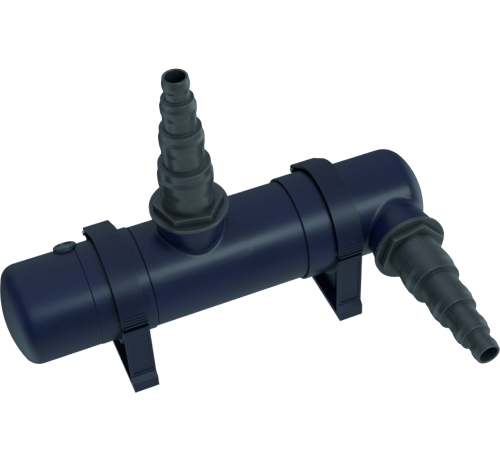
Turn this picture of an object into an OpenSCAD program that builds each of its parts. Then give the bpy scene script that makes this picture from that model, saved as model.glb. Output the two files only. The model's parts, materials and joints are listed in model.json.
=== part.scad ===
// Tubular uv clarifier for pond water: a plastic housing with a lamp head plugged into its left end,
// an outlet cap that turns on its right end, two screwed hose tails and two hinged mounting clamps.
// Millimetres. +X runs from the lamp head to the outlet cap, -Y faces the user, +Z is up.
// The origin is the centre of the four bracket screw holes, in the plane the feet stand on.

/* [Housing] */
// outside diameter of the main tube
tube_d = 75; // [73:0.5:77]
// wall of the main tube
tube_wall = 3; // [2.5:0.1:3.4]
// height of the tube axis above the feet
axis_height = 67.5; // [66:0.5:75]
// x of the joint between lamp head and collar
head_joint_x = -106.6; // [-108:0.1:-106]
// x of the joint between collar and main tube
collar_joint_x = -65.6; // [-67:0.1:-64]
// x of the open rim of the outlet cap
outlet_rim_x = 52.1; // [46:0.1:60]
// x of the tip of the lamp head dome
head_tip_x = -166.7; // [-170:0.1:-166]
// x of the tip of the outlet cap dome
outlet_tip_x = 159.4; // [158:0.1:162]

/* [Ports] */
// x of the upright inlet port
inlet_x = -23.2; // [-28:0.1:0]
// x of the outlet port that faces the user
outlet_x = 125.3; // [123:0.1:126]
// distance from the tube axis to the face of a port
port_face = 52.8; // [51:0.1:55]
// turn of the inlet tail's hexagon, degrees
inlet_hex_turn = 48; // [0:1:60]
// turn of the outlet tail's hexagon, degrees
outlet_hex_turn = 12.5; // [0:0.5:60]

/* [Hose tails] */
// largest diameters of the four barbs, for 38, 32, 25 and 19 mm hose
barb_d = [39, 31.2, 24.6, 18.8];
// lengths of the four barbs, from hexagon to tip
barb_length = [36.6, 30.4, 24, 14.4];
// diameter of the tail's flange
flange_d = 56.4; // [54:0.2:58]
// hexagon measured across its corners
hex_d = 51; // [49:0.5:52]
// outside diameter of the tail's thread
thread_d = 41.6; // [40:0.1:41.8]

/* [Mounting clamps] */
// distance between the two clamps
clamp_spacing = 166.8; // [165:0.2:168]
// distance between the two screw holes of one bracket
foot_hole_spacing = 56; // [48:1:60]
// diameter of the bracket screw holes
foot_hole_d = 4.8; // [4:0.1:5.5]
// width of a bracket
bracket_w = 19; // [18:0.5:20]
// width of a strap
strap_w = 19.4; // [18.6:0.2:20.6]

/* [Lamp] */
// outside diameter of the quartz sleeve
sleeve_d = 34; // [33:0.5:34.5]
// length of the lamp's glass tubes
lamp_length = 210; // [200:1:214]

/* [View] */
// which node to draw

/* [Hidden] */
$fn = 96;

navy = [0.06, 0.09, 0.19];
clamp_blue = [0.07, 0.10, 0.18];
tail_grey = [0.20, 0.25, 0.26];
rubber_black = [0.04, 0.04, 0.04];
quartz = [0.75, 0.85, 0.9, 0.4];
white_plastic = [0.85, 0.85, 0.82];
steel = [0.6, 0.6, 0.62];

eps = 0.05;          // contact gap between parts that stay put
slip = 0.3;          // radial gap between parts that turn or slide past each other
join_drop = 0.01;    // how far a dome's face is lowered, so that it crosses its edge rounding cleanly
tube_r = tube_d / 2;
tube_bore_r = tube_r - tube_wall;

// collar and bulkhead
collar_r = 38.4;
collar_step_x = -clamp_spacing / 2;
spigot_r = 36;
bulkhead_x = -82.1;
bulkhead_t = 4;
head_bore_r = 35.2;
seal_shoulder_x = -93.3;
seal_shoulder_r = 33;
edge_break = 0.5;
joint_groove = 0.8;

// lamp head
head_r = 37.1;
head_wall = 2.6;
head_rise = 17.2;
head_edge_r = 12;
head_spigot_end_x = seal_shoulder_x - 2.8;
head_spigot_r = head_bore_r - slip;
head_spigot_bore_r = 31.6;
sight_x = -111.9;
sight_lean = 33;
sight_ring_r = 8.4;
sight_neck_r = 4.1;
sight_glass_r = 5.4;
sight_glass_z = 38.4;
sight_glass_t = 1;
gland_x = -137.1;
gland_drop = 30;
gland_pad_r = 10.5;
gland_pad_reach = 39;
gland_shank_r = 6;
gland_neck_r = 7;
cord_r = 3.5;

// outlet cap
sleeve_rim_r = 39.6;
sleeve_bore_r = tube_r + slip;
sleeve_end_x = 92.4;
sleeve_taper = 2.5;
cap_r = 37.1;
cap_wall = 3;
cap_rise = 20.9;
cap_edge_r = 13.8;
tube_end_x = 87.8;
seal_cord_r = 1.4;
seal_mid_r = 36;

// ports and tails
port_rim_r = 26.6;
port_root_r = 23.6;
port_bore_r = thread_d / 2 + slip;
port_throat_r = 16.5;
port_thread_depth = 15;
port_rim_h = 2.4;
port_rim_step = 0.4;
port_taper_z = 36;
port_inner_z = 20;
gasket_t = 1.4;
flange_t = 2.4;
hex_t = 5.4;
thread_length = 12.5;
thread_pitch = 2.309;
thread_depth = 1;
thread_turns = 5;
bore_wall = 2.7;
rim_drop = 2.4;      // how far a barb's rim, and the foot of the next neck, lie below its full length
foot_drop = 1.6;
bore_step = 4;       // how far a bore stops short of the next barb
tip_bore_r = 6.84;

// clamps
clamp_x = clamp_spacing / 2;
rib_h = 2.1;
rib_w = 12;
skin_t = 1.7;
left_tail = [60, 22.5];     // angle at which the strap leaves the round, and length of its straight tail
right_tail = [52.5, 19.8];
strap_end_angle = 181;
rib_end_angle = 171;
knuckle_r = 4.2;
knuckle_proud = 0.15; // how far the strap's knuckles stand out of its outer face
ear_w = 9;
ear_r = 2.3;
pin_r = 1.1;
pin_head_r = 1.9;
pin_head_t = 3.6;
knuckle_pocket = 2.5; // depth and radius of the hollow at each end of a knuckle
knuckle_pocket_r = 3.1;
left_saddle_r = collar_r + eps;
right_saddle_r = sleeve_rim_r + slip;
saddle_t = 3;
saddle_end_angle = 187;
catch_angle = 174;
ear_overlap = 1.5;    // degrees by which the saddle runs past its ear
leg_face_y = 43.2;
leg_t = 3.3;
leg_top_z = -4.6;
foot_face_y = 46.4;
foot_top_z = 10;
foot_slope_z = 13.5;
base_t = 4;
web_t = 3;
catch_t = 1.5;
screw_pocket_w = 16;
screw_pocket_h = 24;
panel_depth = 0.5;

// lamp and sleeve
sleeve_r = sleeve_d / 2;
sleeve_wall = 1.5;
sleeve_open_x = -93.1;
sleeve_round_x = 122.9;
boss_r = 23;
boss_end_x = -88.5;
nut_length = 11;
nut_r = 27.2;
nut_cap_t = 2.5;
seal_r = 1.55;
nut_x = boss_end_x - 2 * (seal_r + eps) - nut_cap_t;
partition_x = -129.1;
partition_t = 2.4;
lamp_base_x = partition_x + partition_t + eps;
lamp_base_length = 20.5;
lamp_tube_r = 6.2;
lamp_tube_offset = 7.7;
post_length = 12;
lamp_pin_length = 8;
plunger_offset = 29.6;
plunger_r = 1.4;

// ---- helpers ----

// puts a shape drawn in the plane across the tube, thickness along its own z, at x = x0 on the axis
module across(x0) {
    translate([x0, 0, axis_height]) rotate([90, 0, 90]) children();
}

module rod(x0, x1, r) {
    across(x0) cylinder(h = x1 - x0, r = r);
}

module cone(x0, x1, r0, r1) {
    across(x0) cylinder(h = x1 - x0, r1 = r0, r2 = r1);
}

module pipe(x0, x1, r_out, r_in) {
    difference() {
        rod(x0, x1, r_out);
        rod(x0 - 1, x1 + 1, r_in);
    }
}

module o_ring(x0, mid_r, cord_r) {
    across(x0) rotate_extrude() translate([mid_r, 0]) circle(r = cord_r);
}

// radius of a dome's face when its edge rounding meets it smoothly
function face_r(r, rise, edge) = (pow(r - edge, 2) + rise * rise - edge * edge) / (2 * (rise - edge));

// solid of turning: a flat-bottomed dome of radius r, shrunk all round by inset
module dome(r, rise, edge, inset) {
    face = face_r(r, rise, edge);
    lean = asin((r - edge) / (face - edge));
    split_x = r - edge + (edge - inset) * sin(lean);
    rotate_extrude() {
        intersection() {
            translate([0, rise - face - join_drop]) circle(r = face - inset);
            square([split_x, rise]);
        }
        intersection() {
            translate([r - edge, 0]) circle(r = edge - inset);
            square([r, rise]);
        }
    }
}

// ---- ports, tails and gaskets: drawn with the port's axis up, z = 0 on the tube axis ----

module port_boss() {
    rim_z = port_face - port_rim_h;
    translate([0, 0, rim_z]) cylinder(h = port_rim_h, r = port_rim_r);
    translate([0, 0, port_taper_z])
        cylinder(h = rim_z - port_taper_z, r1 = port_root_r, r2 = port_rim_r - port_rim_step);
    translate([0, 0, port_inner_z]) cylinder(h = port_taper_z - port_inner_z, r = port_root_r);
}

module port_hole() {
    translate([0, 0, port_face - port_thread_depth]) cylinder(h = port_thread_depth + 1, r = port_bore_r);
    translate([0, 0, 10]) cylinder(h = port_face, r = port_throat_r);
}

function barb_base(i) = i == 0 ? flange_t + hex_t : barb_base(i - 1) + barb_length[i - 1];

// outline of one barb from the foot of its neck, over its ring, to its tip-side rim
function barb_outline(i) =
    let (z = barb_base(i), l = barb_length[i], r = barb_d[i] / 2, foot = i == 0 ? z : z - foot_drop)
    concat(
        [[r - 0.8, foot], [r - 0.8, z + 0.36 * l], [r - 0.08, z + 0.45 * l], [r - 0.2, z + 0.53 * l],
         [r, z + 0.58 * l], [r, z + 0.66 * l]],
        i < 3 ? [[r - 0.9, z + 0.75 * l], [r - 1.15, z + l - rim_drop]]
              : [[r - 0.45, z + 0.85 * l], [r - 0.5, z + l - 0.5], [r - 0.9, z + l]]
    );

function bore_r(i) = i == 3 ? tip_bore_r : barb_d[i] / 2 - 1.2 - bore_wall;

module hose_tail(turn) {
    top = barb_base(3) + barb_length[3];
    difference() {
        union() {
            rotate_extrude()
                polygon(concat([[0, 0]], [for (i = [0 : 3]) each barb_outline(i)], [[0, top]]));
            cylinder(h = flange_t, r = flange_d / 2);
            rotate([0, 0, turn]) cylinder(h = flange_t + hex_t, r = hex_d / 2, $fn = 6);
            translate([0, 0, -thread_length])
                cylinder(h = thread_length + 1, r = thread_d / 2 - thread_depth);
            for (i = [0 : thread_turns - 1])
                translate([0, 0, -(i + 1.13) * thread_pitch]) thread_ridge();
        }
        translate([0, 0, -thread_length - 1])
            cylinder(h = thread_length + 1 + barb_base(1) - bore_step, r = bore_r(0));
        for (i = [1, 2])
            cylinder(h = barb_base(i + 1) - bore_step, r = bore_r(i));
        cylinder(h = top + 1, r = bore_r(3));
    }
}

module thread_ridge() {
    base = thread_d / 2 - thread_depth - 0.2;
    crest = 0.3;
    foot = 0.95;
    rotate_extrude()
        polygon([[base, -foot], [thread_d / 2, -crest], [thread_d / 2, crest], [base, foot]]);
}

module gasket() {
    difference() {
        cylinder(h = gasket_t - 2 * eps, r = port_rim_r - 0.8);
        translate([0, 0, -1]) cylinder(h = gasket_t + 2, r = port_bore_r);
    }
}

module at_inlet(lift) {
    translate([inlet_x, 0, axis_height + lift]) children();
}

module at_outlet(lift) {
    translate([outlet_x, -lift, axis_height]) rotate([90, 0, 0]) children();
}

// ---- housing ----

module main_tube() {
    color(navy) difference() {
        union() {
            rod(collar_joint_x + joint_groove, tube_end_x, tube_r);
            rod(bulkhead_x + bulkhead_t + eps, collar_joint_x + joint_groove + 1, spigot_r - eps);
            at_inlet(0) port_boss();
        }
        rod(bulkhead_x, tube_end_x + 1, tube_bore_r);
        at_inlet(0) port_hole();
    }
}

module head_collar() {
    step = edge_break;
    color(navy) difference() {
        union() {
            cone(head_joint_x, head_joint_x + step, tube_r - step, tube_r);
            rod(head_joint_x + step, collar_step_x, tube_r);
            rod(collar_step_x, collar_joint_x - step, collar_r);
            cone(collar_joint_x - step, collar_joint_x, collar_r, collar_r - step);
        }
        rod(head_joint_x - 1, seal_shoulder_x, head_bore_r);
        rod(seal_shoulder_x - 1, collar_joint_x + 1, seal_shoulder_r);
        rod(bulkhead_x - eps, collar_joint_x + 1, spigot_r);
    }
}

module bulkhead() {
    color(navy) difference() {
        union() {
            rod(bulkhead_x, bulkhead_x + bulkhead_t, spigot_r - eps);
            rod(boss_end_x, bulkhead_x + 1, boss_r);
        }
        rod(boss_end_x - 1, bulkhead_x + bulkhead_t + 1, sleeve_r + eps);
    }
}

module outlet_cap() {
    dome_x = outlet_tip_x - cap_rise;
    color(navy) difference() {
        union() {
            cone(outlet_rim_x, outlet_rim_x + edge_break, sleeve_rim_r - edge_break, sleeve_rim_r);
            rod(outlet_rim_x + edge_break, sleeve_end_x, sleeve_rim_r);
            cone(sleeve_end_x, sleeve_end_x + sleeve_taper, sleeve_rim_r, cap_r);
            rod(sleeve_end_x, dome_x, cap_r);
            across(dome_x) dome(cap_r, cap_rise, cap_edge_r, 0);
            at_outlet(0) port_boss();
        }
        rod(outlet_rim_x - 1, tube_end_x + 2 * seal_cord_r + 2 * eps, sleeve_bore_r);
        rod(tube_end_x, dome_x, cap_r - cap_wall);
        across(dome_x) dome(cap_r, cap_rise, cap_edge_r, cap_wall);
        at_outlet(0) port_hole();
    }
}

module outlet_seal() {
    color(rubber_black) o_ring(tube_end_x + seal_cord_r + eps, seal_mid_r, seal_cord_r);
}

module quartz_sleeve() {
    color(quartz) difference() {
        union() {
            rod(sleeve_open_x, sleeve_round_x, sleeve_r);
            across(sleeve_round_x) sphere(r = sleeve_r);
        }
        rod(sleeve_open_x - 1, sleeve_round_x, sleeve_r - sleeve_wall);
        across(sleeve_round_x) sphere(r = sleeve_r - sleeve_wall);
    }
}

module sleeve_seal() {
    color(rubber_black) o_ring(boss_end_x - seal_r - eps, sleeve_r + seal_r + eps, seal_r);
}

module sleeve_nut() {
    wing_count = 8;
    wing_w = 4;
    wing_root = 3;
    color(navy) difference() {
        union() {
            rod(nut_x, nut_x + nut_length, nut_r - 1.2);
            for (i = [0 : wing_count - 1])
                across(nut_x) rotate([0, 0, i * 360 / wing_count])
                    translate([nut_r - wing_root, -wing_w / 2, 0])
                        cube([wing_root, wing_w, nut_length]);
        }
        rod(nut_x - 1, nut_x + nut_length + 1, sleeve_r + slip + eps);
        rod(nut_x + nut_cap_t, nut_x + nut_length + 1, boss_r + slip);
    }
}

module sleeve_support() {
    arm_count = 3;
    hub_r = sleeve_r + 2.4;
    arm_x = 63;
    arm_w = 6;
    arm_t = 2.5;
    root = 0.6;
    color(navy) {
        pipe(arm_x, arm_x + arm_w, hub_r, sleeve_r + eps);
        for (i = [0 : arm_count - 1])
            across(arm_x) rotate([0, 0, 90 + i * 360 / arm_count])
                translate([hub_r - root, -arm_t / 2, 0])
                    cube([tube_bore_r - hub_r + root - slip, arm_t, arm_w]);
    }
}

// ---- mounting clamps: the plane across the tube, y = 0 and z = 0 on the tube axis ----

function strap_skin_r(inner) = inner + rib_h + skin_t;
function hinge_out(inner) = strap_skin_r(inner) - knuckle_r + knuckle_proud;
function hinge_point(inner, tail) = [
    hinge_out(inner) * cos(tail[0]) + tail[1] * sin(tail[0]),
    hinge_out(inner) * sin(tail[0]) - tail[1] * cos(tail[0])
];

module arc_band(from, to, r0, r1, w) {
    rotate([0, 0, from]) rotate_extrude(angle = to - from)
        translate([r0, -w / 2]) square([r1 - r0, w]);
}

// the sector that is cut out of the saddle ring, between two angles
module wedge(from, to, reach) {
    step = (to - from) / 3;
    polygon(concat([[0, 0]], [for (i = [0 : 3]) reach * [cos(from + i * step), sin(from + i * step)]]));
}

module bracket_outline(saddle_r, hinge) {
    floor_z = -axis_height;
    leg_back_y = leg_face_y - leg_t;
    ear_arm_h = 4.2;
    ear_angle = atan2(hinge[1], hinge[0]);
    difference() {
        union() {
            for (side = [-1, 1])
                polygon([[side * leg_back_y, leg_top_z], [side * leg_face_y, leg_top_z],
                         [side * leg_face_y, floor_z + foot_slope_z],
                         [side * foot_face_y, floor_z + foot_top_z],
                         [side * foot_face_y, floor_z], [side * leg_back_y, floor_z]]);
            translate([-leg_back_y - 1, floor_z]) square([2 * leg_back_y + 2, base_t]);
            difference() {
                circle(r = saddle_r + saddle_t);
                wedge(ear_angle + ear_overlap, saddle_end_angle, 2 * tube_d);
            }
            rotate([0, 0, ear_angle])
                translate([saddle_r + 1, -ear_arm_h / 2]) square([norm(hinge) - saddle_r, ear_arm_h]);
            translate(hinge) circle(r = ear_r);
        }
        circle(r = saddle_r);
        translate(hinge) circle(r = pin_r + 0.02);
    }
}

module bracket(saddle_r, strap_inner, tail) {
    hinge = hinge_point(strap_inner, tail);
    floor_z = -axis_height;
    web_y = leg_face_y - leg_t + 1;
    web_top_z = leg_top_z - 3;
    panel_low_z = floor_z + 17;
    panel_high_z = leg_top_z - 5.4;
    panel_edge = 2;
    color(clamp_blue) difference() {
        union() {
            translate([0, 0, -bracket_w / 2]) linear_extrude(bracket_w) bracket_outline(saddle_r, hinge);
            translate([-web_y, floor_z + 1, -web_t / 2]) cube([2 * web_y, web_top_z - floor_z - 1, web_t]);
            arc_band(catch_angle, saddle_end_angle + 1, saddle_r - 1, strap_inner + catch_t, bracket_w - 4);
        }
        translate([0, 0, -bracket_w]) cylinder(h = 2 * bracket_w, r = saddle_r);
        for (side = [-1, 1])
            translate([hinge[0], hinge[1], side * (ear_w + bracket_w) / 2])
                cylinder(h = bracket_w, r = knuckle_r + slip + 0.2, center = true);
        for (side = [-1, 1])
            translate([side * foot_hole_spacing / 2, floor_z, 0]) {
                translate([0, -1, 0]) rotate([-90, 0, 0]) cylinder(h = base_t + 2, r = foot_hole_d / 2);
                translate([-screw_pocket_w / 2, base_t, -web_t])
                    cube([screw_pocket_w, screw_pocket_h, 2 * web_t]);
            }
        translate([-leg_face_y - 1, panel_low_z, -bracket_w / 2 + panel_edge])
            cube([1 + panel_depth, panel_high_z - panel_low_z, bracket_w - 2 * panel_edge]);
    }
}

// drawn with the start of its straight tail on the plane's y = 0, then turned into place
module strap(inner, tail) {
    skin = strap_skin_r(inner);
    end = strap_end_angle - tail[0];
    ribs_end = rib_end_angle - tail[0];
    notch_w = ear_w + 2 * slip;
    notch_mouth = 1.2;
    ridge_count = 3;
    ridge_first = 169;
    ridge_step = 3.4;
    ridge_span = 1.3;
    ridge_h = 0.45;
    lip_gap = 0.4;
    lip_span = 1.4;
    lip_h = 0.9;
    edge_rib_w = 1.2;
    edge_rib_h = 1;
    edge_rib_z = 8;
    color(clamp_blue) rotate([0, 0, tail[0]]) difference() {
        union() {
            arc_band(0, end, skin - skin_t, skin, strap_w);
            arc_band(0, ribs_end, inner, skin - skin_t + 0.2, rib_w);
            arc_band(end - lip_gap - lip_span, end - lip_gap, skin - 0.5, skin + lip_h, strap_w - 1);
            for (i = [0 : ridge_count - 1])
                rotate([0, 0, ridge_first + i * ridge_step - tail[0]])
                    arc_band(0, ridge_span, skin - 0.5, skin + ridge_h, strap_w - 3);
            translate([skin - skin_t, -tail[1], -strap_w / 2]) cube([skin_t, tail[1], strap_w]);
            for (side = [-1, 1])
                translate([0, 0, side * edge_rib_z]) {
                    arc_band(0, ribs_end, skin - skin_t - edge_rib_h, skin - skin_t + 0.2, edge_rib_w);
                    translate([skin - skin_t - edge_rib_h, -tail[1], -edge_rib_w / 2])
                        cube([edge_rib_h + 0.2, tail[1], edge_rib_w]);
                }
            translate([hinge_out(inner), -tail[1], -strap_w / 2]) cylinder(h = strap_w, r = knuckle_r);
        }
        translate([hinge_out(inner), -tail[1], -notch_w / 2]) {
            cylinder(h = notch_w, r = ear_r + slip);
            translate([-knuckle_r - 1, -knuckle_r - 1, 0])
                cube([2 * knuckle_r + 2, knuckle_r + 1 - notch_mouth, notch_w]);
            translate([-knuckle_r - 1, -knuckle_r, 0])
                cube([knuckle_r + 1 + notch_mouth, 2 * knuckle_r + slip, notch_w]);
        }
        translate([hinge_out(inner), -tail[1], -strap_w]) cylinder(h = 2 * strap_w, r = pin_r + 0.06);
        for (side = [-1, 1])
            translate([hinge_out(inner), -tail[1], side * strap_w / 2])
                cylinder(h = 2 * knuckle_pocket, r = knuckle_pocket_r, center = true);
    }
}

module pin(inner, tail) {
    hinge = hinge_point(inner, tail);
    head_start = strap_w / 2 - knuckle_pocket + slip;
    color(steel) translate([hinge[0], hinge[1], 0]) {
        cylinder(h = 2 * head_start + 1, r = pin_r, center = true);
        for (side = [-1, 1])
            translate([0, 0, side * (head_start + pin_head_t / 2)])
                cylinder(h = pin_head_t, r = pin_head_r, center = true);
    }
}

module left_bracket() {
    across(-clamp_x) bracket(left_saddle_r, collar_r + slip, left_tail);
}

module right_bracket() {
    across(clamp_x) bracket(right_saddle_r, sleeve_rim_r + slip, right_tail);
}

module left_strap() {
    across(-clamp_x) strap(collar_r + slip, left_tail);
}

module right_strap() {
    across(clamp_x) strap(sleeve_rim_r + slip, right_tail);
}

module left_pin() {
    across(-clamp_x) pin(collar_r + slip, left_tail);
}

module right_pin() {
    across(clamp_x) pin(sleeve_rim_r + slip, right_tail);
}

// ---- hose tails ----

module inlet_tail() {
    color(tail_grey) at_inlet(port_face + gasket_t) hose_tail(inlet_hex_turn);
}

module outlet_tail() {
    color(tail_grey) at_outlet(port_face + gasket_t) hose_tail(outlet_hex_turn);
}

module inlet_gasket() {
    color(rubber_black) at_inlet(port_face + eps) gasket();
}

module outlet_gasket() {
    color(rubber_black) at_outlet(port_face + eps) gasket();
}

// ---- lamp head ----

// drawn with z = 0 on the tube axis and the sight glass facing along its own z
module at_sight() {
    translate([sight_x, 0, axis_height]) rotate([-sight_lean, 0, 0]) children();
}

// drawn with z = 0 on the tube axis and the cord leaving along its own z
module at_gland() {
    translate([gland_x, 0, axis_height]) rotate([-90 - gland_drop, 0, 0]) children();
}

module lamp_head_cap() {
    dome_x = head_tip_x + head_rise;
    rim_x = head_joint_x - eps;
    spigot_root = 4;
    pad_root = 30;
    color(navy) difference() {
        union() {
            translate([dome_x, 0, axis_height]) rotate([90, 0, -90]) dome(head_r, head_rise, head_edge_r, 0);
            rod(dome_x, rim_x - edge_break, head_r);
            cone(rim_x - edge_break, rim_x, head_r, head_r - edge_break);
            rod(head_joint_x - spigot_root, head_spigot_end_x, head_spigot_r);
            at_gland() translate([0, 0, pad_root]) cylinder(h = gland_pad_reach - pad_root, r = gland_pad_r);
        }
        translate([dome_x, 0, axis_height]) rotate([90, 0, -90])
            dome(head_r, head_rise, head_edge_r, head_wall);
        rod(dome_x, head_joint_x - spigot_root, head_r - head_wall);
        rod(head_joint_x - spigot_root - 1, head_spigot_end_x + 1, head_spigot_bore_r);
        at_sight() translate([0, 0, 25]) cylinder(h = 20, r = sight_neck_r + eps);
        at_gland() translate([0, 0, 20]) cylinder(h = 30, r = gland_shank_r + eps);
    }
}

module head_seal() {
    cord = 1.3;
    color(rubber_black) o_ring(seal_shoulder_x - cord - eps, head_bore_r - cord - eps, cord);
}

// a bevelled bezel that is saddled onto the lamp head and hangs a little over the collar
module sight_ring() {
    neck_end = 33;
    bezel_low = 34;
    bezel_high = 39.3;
    bevel_h = 1;
    bevel_in = 1.5;
    view_r = 3.2;
    color(navy) at_sight() difference() {
        union() {
            difference() {
                union() {
                    translate([0, 0, bezel_low]) cylinder(h = bezel_high - bezel_low, r = sight_ring_r);
                    translate([0, 0, bezel_high])
                        cylinder(h = bevel_h, r1 = sight_ring_r, r2 = sight_ring_r - bevel_in);
                }
                translate([-40, 0, 0]) rotate([0, 90, 0]) cylinder(h = 80, r = head_r + eps);
                translate([head_joint_x - sight_x - slip, 0, 0]) rotate([0, 90, 0])
                    cylinder(h = 40, r = tube_r + slip);
            }
            translate([0, 0, neck_end]) cylinder(h = sight_glass_z - 0.5 - neck_end, r = sight_neck_r);
        }
        translate([0, 0, neck_end - 1]) cylinder(h = 10, r = view_r);
        translate([0, 0, sight_glass_z]) cylinder(h = 10, r = sight_glass_r);
    }
}

module sight_glass() {
    color(quartz) at_sight() translate([0, 0, sight_glass_z + eps])
        cylinder(h = sight_glass_t, r = sight_glass_r - eps);
}

module partition() {
    post_hole = [17, 12];
    pin_spacing = 12;
    color(white_plastic) difference() {
        rod(partition_x, partition_x + partition_t, head_r - head_wall - eps);
        across(partition_x + partition_t / 2)
            cube([post_hole[0], post_hole[1], 2 * partition_t], center = true);
        for (side = [-1, 1])
            across(partition_x - 1) translate([side * pin_spacing, 0, 0])
                cylinder(h = partition_t + 2, r = 2);
    }
}

module lamp_holder() {
    depth = 16;
    outer = [34, 23];
    socket = [16, 10];
    pin_spacing = 12;
    pin_hole_r = 1.6;
    color(white_plastic) difference() {
        across(partition_x - depth) translate([-outer[0] / 2, -outer[1] / 2, 0])
            cube([outer[0], outer[1], depth - eps]);
        across(partition_x - post_length) translate([-socket[0] / 2, -socket[1] / 2, 0])
            cube([socket[0], socket[1], post_length + 1]);
        for (side = [-1, 1])
            across(partition_x - lamp_pin_length) translate([side * pin_spacing, 0, 0])
                cylinder(h = lamp_pin_length + 1, r = pin_hole_r);
    }
}

module lamp_base() {
    outer = [32, 21];
    post = [14.8, 8.8];
    color(white_plastic) union() {
        across(lamp_base_x) translate([-outer[0] / 2, -outer[1] / 2, 0])
            cube([outer[0], outer[1], lamp_base_length]);
        across(lamp_base_x - post_length) translate([-post[0] / 2, -post[1] / 2, 0])
            cube([post[0], post[1], post_length + 1]);
    }
}

module lamp_tubes() {
    bridge_r = 2.6;
    bridge_back = 12;
    start_x = lamp_base_x + lamp_base_length + eps;
    end_x = start_x + lamp_length;
    color(quartz) {
        for (side = [-1, 1])
            across(start_x) translate([side * lamp_tube_offset, 0, 0])
                cylinder(h = lamp_length, r = lamp_tube_r);
        across(end_x - bridge_back) rotate([0, 90, 0])
            translate([0, 0, -lamp_tube_offset]) cylinder(h = 2 * lamp_tube_offset, r = bridge_r);
    }
}

module lamp_pins() {
    pin_spacing = 12;
    contact_r = 1.2;
    color(steel) for (side = [-1, 1])
        across(lamp_base_x - lamp_pin_length + 1) translate([side * pin_spacing, 0, 0])
            cylinder(h = lamp_pin_length - 1 - eps, r = contact_r);
}

module ballast() {
    size = [32, 13, 26];
    gap = 1;
    low = -26;
    color(rubber_black) across(partition_x - gap - size[2]) translate([-size[0] / 2, low, 0]) cube(size);
}

module terminal_block() {
    way_count = 3;
    way_pitch = 7;
    screw_r = 2;
    screw_depth = 4;
    size = [22, 11, 20];
    gap = 4;
    low = 15;
    color(white_plastic) difference() {
        across(partition_x - gap - size[2]) translate([-size[0] / 2, low, 0]) cube(size);
        for (i = [0 : way_count - 1])
            across(partition_x - gap - size[2] / 2)
                translate([(i - (way_count - 1) / 2) * way_pitch, low + size[1] - screw_depth, 0])
                    rotate([-90, 0, 0]) cylinder(h = screw_depth + 1, r = screw_r);
    }
}

module interlock_switch() {
    size = [12, 7.4, 14];
    wall_behind = 6;
    color(rubber_black) difference() {
        across(partition_x + partition_t + eps) translate([-size[0] / 2, plunger_offset - size[1] / 2, 0])
            cube(size);
        rod_top(partition_x + partition_t + wall_behind, partition_x + 30, plunger_r + slip);
    }
}

module interlock_plunger() {
    rest_depth = 9.5;
    color(white_plastic) rod_top(partition_x + partition_t + rest_depth, bulkhead_x - 0.5, plunger_r);
}

// rod along the tube, above the axis, where the interlock sits
module rod_top(x0, x1, r) {
    translate([x0, 0, axis_height + plunger_offset]) rotate([0, 90, 0]) cylinder(h = x1 - x0, r = r);
}

// ---- cable gland ----

module gland_body() {
    inner_end = 30;
    hex_r = 9.6;
    hex_h = 4;
    neck_top = 11.5;
    bore_r = cord_r + 0.9;
    seat_r = 5.6;
    seat_low = 5;
    color(rubber_black) at_gland() difference() {
        union() {
            translate([0, 0, inner_end]) cylinder(h = gland_pad_reach + 1 - inner_end, r = gland_shank_r);
            translate([0, 0, gland_pad_reach + eps]) cylinder(h = hex_h, r = hex_r, $fn = 6);
            translate([0, 0, gland_pad_reach + 1]) cylinder(h = neck_top - 1, r = gland_neck_r);
        }
        translate([0, 0, inner_end - 1]) cylinder(h = 40, r = bore_r);
        translate([0, 0, gland_pad_reach + seat_low]) cylinder(h = 20, r = seat_r);
    }
}

module gland_seal() {
    low = 5.4;
    length = 8;
    seal_out_r = 5.3;
    color(rubber_black) at_gland() difference() {
        translate([0, 0, gland_pad_reach + low]) cylinder(h = length, r = seal_out_r);
        translate([0, 0, gland_pad_reach]) cylinder(h = 30, r = cord_r);
    }
}

module gland_nut() {
    rib_count = 12;
    rib_proud = 0.5;
    rib_root = 0.6;
    rib_wide = 1.6;
    low = 4.6;
    straight = 8;
    nose = 3;
    out_r = 9;
    nose_r = 6.5;
    inside_top = 13.8;
    color(rubber_black) at_gland() difference() {
        translate([0, 0, gland_pad_reach]) {
            translate([0, 0, low]) cylinder(h = straight, r = out_r);
            translate([0, 0, low + straight]) cylinder(h = nose, r1 = out_r, r2 = nose_r);
            for (i = [0 : rib_count - 1])
                translate([0, 0, low]) rotate([0, 0, i * 360 / rib_count])
                    translate([out_r - rib_root, -rib_wide / 2, 0])
                        cube([rib_root + rib_proud, rib_wide, straight - 0.5]);
        }
        translate([0, 0, gland_pad_reach]) cylinder(h = inside_top, r = gland_neck_r + slip);
        translate([0, 0, gland_pad_reach]) cylinder(h = 30, r = cord_r + 0.7);
    }
}

main_tube();
head_collar();
bulkhead();
outlet_cap();
outlet_seal();
left_bracket();
right_bracket();
left_strap();
right_strap();
left_pin();
right_pin();
inlet_tail();
inlet_gasket();
outlet_tail();
outlet_gasket();
quartz_sleeve();
sleeve_seal();
sleeve_nut();
sleeve_support();
lamp_head_cap();
head_seal();
sight_ring();
sight_glass();
partition();
lamp_holder();
lamp_base();
lamp_tubes();
lamp_pins();
ballast();
terminal_block();
gland_body();
gland_seal();
gland_nut();
interlock_switch();
interlock_plunger();
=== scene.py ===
"""Looks of the uv clarifier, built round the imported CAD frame.

Shapes are worked out in millimetres along the tube and its ports, and become metres as each piece is made."""

import json
import math

import bmesh
import bpy
from mathutils import Matrix, Vector

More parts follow.
